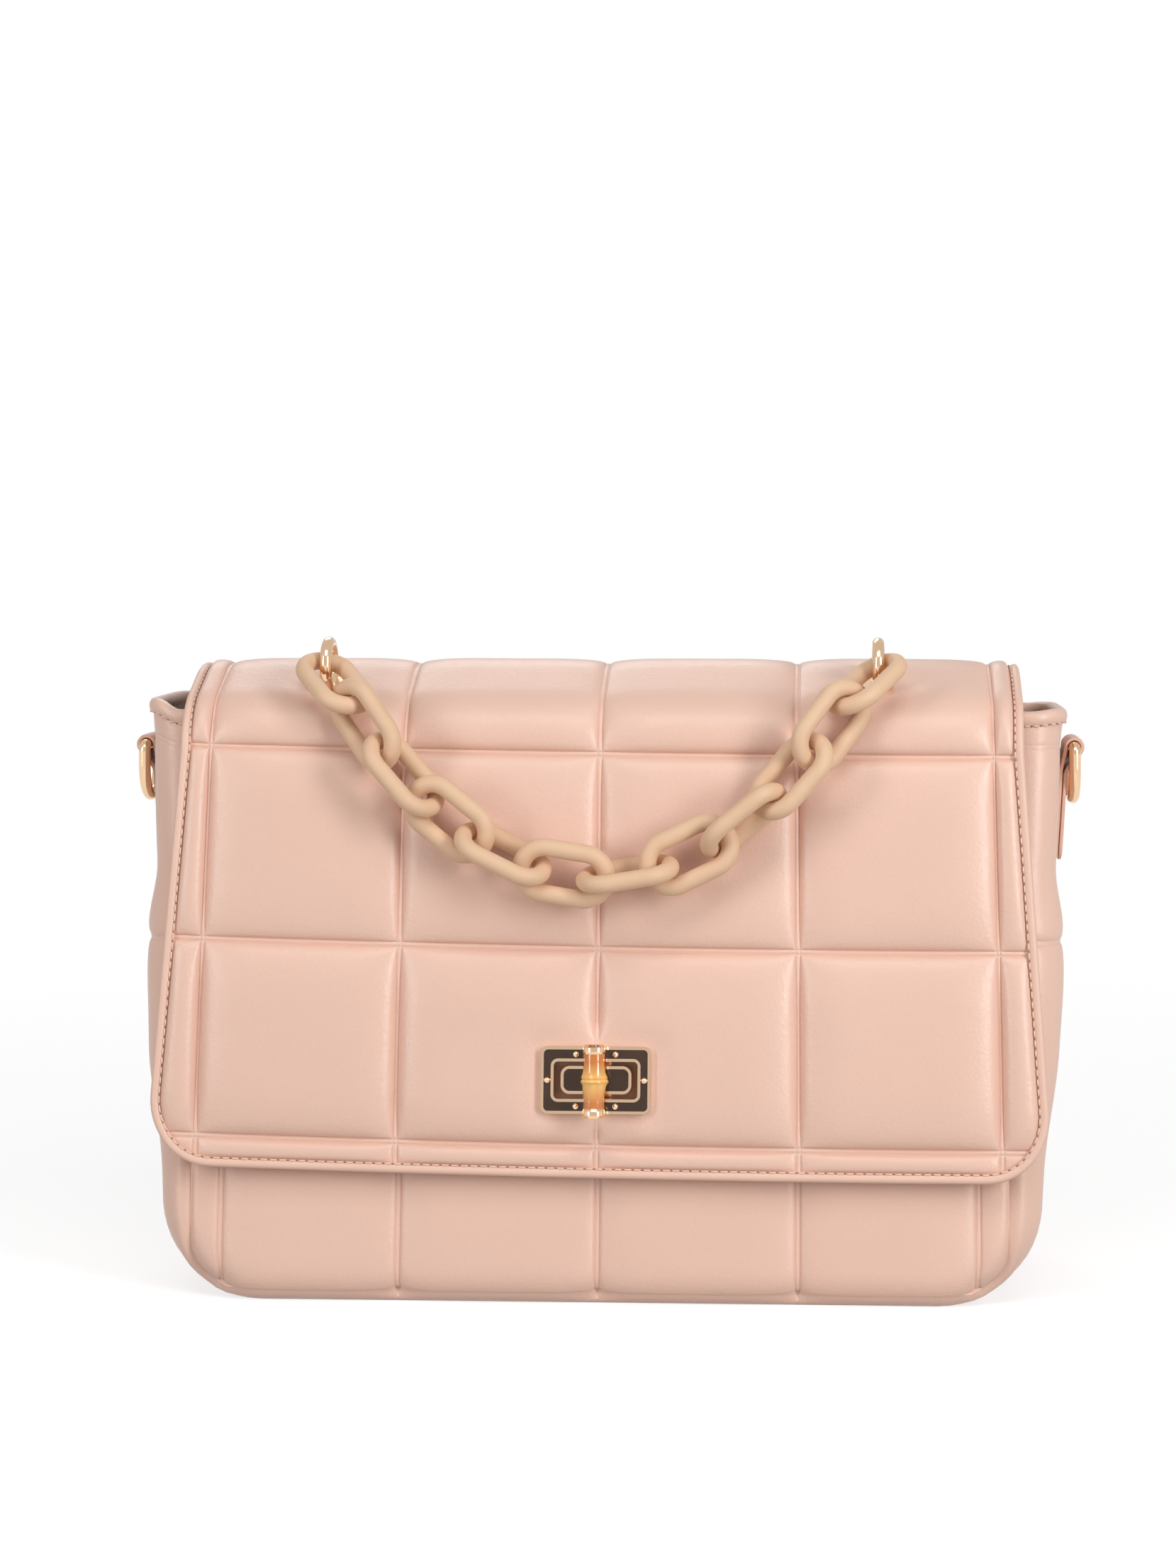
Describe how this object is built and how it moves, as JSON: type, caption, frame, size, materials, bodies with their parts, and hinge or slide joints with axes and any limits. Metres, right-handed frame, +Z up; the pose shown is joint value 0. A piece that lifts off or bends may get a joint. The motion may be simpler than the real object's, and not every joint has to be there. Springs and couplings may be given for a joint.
{
  "type": "chain shoulder bag",
  "caption": "Quilted leather flap bag that stands on its base, with a turn lock, a chunky link chain handle and a ring on each side.",
  "frame": {"origin": "middle of the whole object's footprint, on the surface that the bag stands on", "axes": "+X across the bag to its right as seen from the front, -Y out of the flap's front, +Z up"},
  "size_m": [0.3446, 0.1247, 0.2299],
  "materials": {
    "blush_leather": "pebbled, semi-matt",
    "edge_leather": "smooth, semi-matt",
    "lining_leather": "smooth, matt",
    "lining_textile": "fine twill",
    "quilting_foam": "matt",
    "fibre_board": "matt",
    "gold_metal": "polished, pale gold",
    "dark_enamel": "gloss",
    "amber_bamboo": "lacquered",
    "matt_resin": "matt, sheer",
    "stitch_thread": "waxed thread"
  },
  "bodies": {
    "body": {"front_panel": "blush_leather", "back_panel": "blush_leather", "left_gusset": "blush_leather", "right_gusset": "blush_leather", "base_panel": "blush_leather", "base_board": "fibre_board", "lining": "lining_textile", "rim_band": "blush_leather", "flap_anchor": "blush_leather", "left_tab": "blush_leather", "right_tab": "blush_leather", "lock_base": "gold_metal", "lock_base_inlay": "dark_enamel", "lock_post": "gold_metal"},
    "flap": {"flap_outer": "blush_leather", "flap_foam": "quilting_foam", "flap_lining": "lining_leather", "flap_edge_roll": "edge_leather", "lock_frame": "gold_metal", "lock_frame_enamel": "dark_enamel", "lock_rivets": "gold_metal", "lock_backing": "gold_metal", "left_arch": "gold_metal", "right_arch": "gold_metal", "arch_washers": "gold_metal", "arch_screws": "gold_metal"},
    "knob": {"knob_core": "gold_metal", "knob_washer": "gold_metal", "knob_grip": "amber_bamboo", "knob_cap_top": "gold_metal", "knob_cap_bottom": "gold_metal"},
    "ring_left": {"left_ring": "gold_metal"},
    "ring_right": {"right_ring": "gold_metal"},
    "chain": {"chain_link_01": "matt_resin", "chain_link_02": "matt_resin", "chain_link_03": "matt_resin", "chain_link_04": "matt_resin", "chain_link_05": "matt_resin", "chain_link_06": "matt_resin", "chain_link_07": "matt_resin", "chain_link_08": "matt_resin", "chain_link_09": "matt_resin", "chain_link_10": "matt_resin", "chain_link_11": "matt_resin", "chain_link_12": "matt_resin"}
  },
  "joints": [
    {"name": "flap_hinge", "type": "hinge", "parent": "body", "child": "flap", "pos_m": [0, 0.05303, 0.20838], "axis": [-1, 0, 0], "range_deg": [0, 150]},
    {"name": "chain_swing", "type": "hinge", "parent": "flap", "child": "chain", "pos_m": [0, -0.0173, 0.22], "axis": [-1, 0, 0], "range_deg": [0, 170]},
    {"name": "knob_turn", "type": "hinge", "parent": "body", "child": "knob", "pos_m": [0, -0.04839, 0.0785], "axis": [0, -0.9912, 0.1324], "range_deg": [0, 90]},
    {"name": "left_ring_swing", "type": "hinge", "parent": "body", "child": "ring_left", "pos_m": [-0.1682, 0.0137, 0.1898], "axis": [0, 1, 0], "range_deg": [0, 170]},
    {"name": "right_ring_swing", "type": "hinge", "parent": "body", "child": "ring_right", "pos_m": [0.1682, 0.0137, 0.1898], "axis": [0, -1, 0], "range_deg": [0, 170]}
  ]
}
